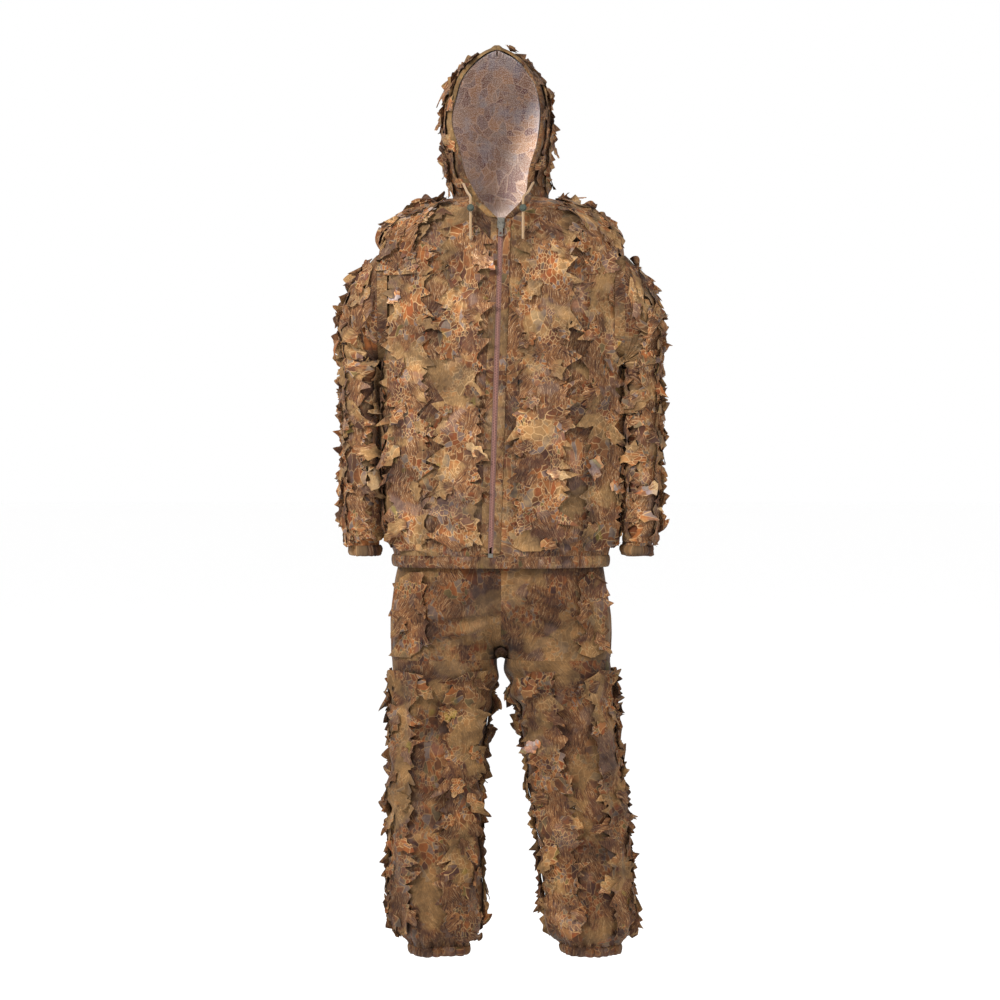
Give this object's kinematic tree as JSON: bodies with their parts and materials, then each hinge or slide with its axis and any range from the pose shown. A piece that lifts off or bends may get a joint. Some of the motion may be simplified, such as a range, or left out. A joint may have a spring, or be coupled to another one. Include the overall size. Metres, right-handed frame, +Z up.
{
  "type": "leafy camouflage suit",
  "caption": "Two-piece leafy camouflage suit: zipped hooded jacket and elasticated trousers covered in ribbons of die-cut leaves.",
  "frame": {"origin": "middle of the neck opening at the height of the hood's seam, where the wearer carries the suit", "axes": "+Z up, the wearer faces -Y, +X towards the wearer's left"},
  "size_m": [0.6388, 0.2942, 1.7664],
  "materials": {
    "jacket_cloth": "matt printed polyester",
    "leaf_cloth": "matt printed polyester, die cut",
    "trouser_cloth": "matt printed polyester",
    "elastic_casing": "matt, gathered",
    "plain_cloth": "matt",
    "drawcord": "matt braid",
    "zip_tape": "matt woven tape",
    "zip_teeth": "satin",
    "zip_metal": "dull grey metal",
    "lock_plastic": "satin"
  },
  "bodies": {
    "jacket": {"back_panel": "jacket_cloth", "left_front_panel": "jacket_cloth", "right_front_panel": "jacket_cloth", "jacket_hem_elastic": "elastic_casing", "left_zip_teeth": "zip_teeth", "right_zip_teeth": "zip_teeth", "left_zip_tape": "zip_tape", "right_zip_tape": "zip_tape", "zip_bottom_box": "zip_metal", "hanger_loop": "plain_cloth", "right_chest_outer_leaves": "leaf_cloth", "right_chest_inner_leaves": "leaf_cloth", "left_chest_inner_leaves": "leaf_cloth", "left_chest_outer_leaves": "leaf_cloth", "right_back_leaves": "leaf_cloth", "middle_back_leaves": "leaf_cloth", "left_back_leaves": "leaf_cloth", "right_upper_sleeve": "jacket_cloth", "right_upper_sleeve_leaves": "leaf_cloth", "left_upper_sleeve": "jacket_cloth", "left_upper_sleeve_leaves": "leaf_cloth"},
    "hood": {"left_hood_panel": "jacket_cloth", "right_hood_panel": "jacket_cloth", "hood_edge_casing": "plain_cloth", "hood_cord": "drawcord", "right_cord_end": "drawcord", "left_cord_end": "drawcord", "left_hood_leaves": "leaf_cloth", "right_hood_leaves": "leaf_cloth", "hood_back_leaves": "leaf_cloth"},
    "zip_slider": {"zip_slider": "zip_metal"},
    "zip_pull_tab": {"zip_pull_tab": "zip_metal"},
    "trousers": {"left_trouser_front": "trouser_cloth", "right_trouser_front": "trouser_cloth", "trouser_back": "trouser_cloth", "waistband_elastic": "elastic_casing", "crotch_gusset": "trouser_cloth"},
    "right_forearm": {"right_forearm_sleeve": "jacket_cloth", "right_cuff_elastic": "elastic_casing", "right_forearm_leaves": "leaf_cloth"},
    "right_leg": {"right_leg_front": "trouser_cloth", "right_leg_back": "trouser_cloth", "right_ankle_elastic": "elastic_casing", "right_leg_inner_leaves": "leaf_cloth", "right_leg_outer_leaves": "leaf_cloth", "right_leg_back_leaves": "leaf_cloth"},
    "right_cord_lock": {"right_cord_lock": "lock_plastic"},
    "right_lock_button": {"right_lock_button": "lock_plastic"},
    "left_forearm": {"left_forearm_sleeve": "jacket_cloth", "left_cuff_elastic": "elastic_casing", "left_forearm_leaves": "leaf_cloth"},
    "left_leg": {"left_leg_front": "trouser_cloth", "left_leg_back": "trouser_cloth", "left_ankle_elastic": "elastic_casing", "left_leg_inner_leaves": "leaf_cloth", "left_leg_outer_leaves": "leaf_cloth", "left_leg_back_leaves": "leaf_cloth"},
    "left_cord_lock": {"left_cord_lock": "lock_plastic"},
    "left_lock_button": {"left_lock_button": "lock_plastic"}
  },
  "joints": [
    {"name": "zip_slide", "type": "slide", "parent": "jacket", "child": "zip_slider", "axis": [-0.0312, -0.0449, -0.9985], "range_m": [0, 0.615]},
    {"name": "pull_tab_swing", "type": "hinge", "parent": "zip_slider", "child": "zip_pull_tab", "pos_m": [-0.00021, -0.11491, -0.0496], "axis": [-0.9995, 0.0007, 0.0312], "range_deg": [0, 120]},
    {"name": "hood_fold_back", "type": "hinge", "parent": "jacket", "child": "hood", "pos_m": [0, 0.1, 0.004], "axis": [-1, 0, 0], "range_deg": [0, 90]},
    {"name": "trousers_pull_down", "type": "slide", "parent": "jacket", "child": "trousers", "axis": [0, 0, -1], "range_m": [0, 0.12]},
    {"name": "right_elbow_bend", "type": "hinge", "parent": "jacket", "child": "right_forearm", "pos_m": [-0.27, -0.067, -0.3915], "axis": [-1, 0, 0], "range_deg": [0, 75]},
    {"name": "right_cord_lock_slide", "type": "slide", "parent": "hood", "child": "right_cord_lock", "axis": [0, 0, -1], "range_m": [0, 0.045]},
    {"name": "right_lock_button_press", "type": "slide", "parent": "right_cord_lock", "child": "right_lock_button", "axis": [0, 1, 0], "range_m": [0, 0.003], "stiffness_N_per_m": 800},
    {"name": "right_leg_swing", "type": "hinge", "parent": "trousers", "child": "right_leg", "pos_m": [-0.112, -0.106, -0.892], "axis": [-1, 0, 0], "range_deg": [0, 60]},
    {"name": "left_elbow_bend", "type": "hinge", "parent": "jacket", "child": "left_forearm", "pos_m": [0.27, -0.067, -0.3915], "axis": [-1, 0, 0], "range_deg": [0, 75]},
    {"name": "left_cord_lock_slide", "type": "slide", "parent": "hood", "child": "left_cord_lock", "axis": [0, 0, -1], "range_m": [0, 0.045]},
    {"name": "left_lock_button_press", "type": "slide", "parent": "left_cord_lock", "child": "left_lock_button", "axis": [0, 1, 0], "range_m": [0, 0.003], "stiffness_N_per_m": 800},
    {"name": "left_leg_swing", "type": "hinge", "parent": "trousers", "child": "left_leg", "pos_m": [0.112, -0.106, -0.892], "axis": [-1, 0, 0], "range_deg": [0, 60]}
  ]
}
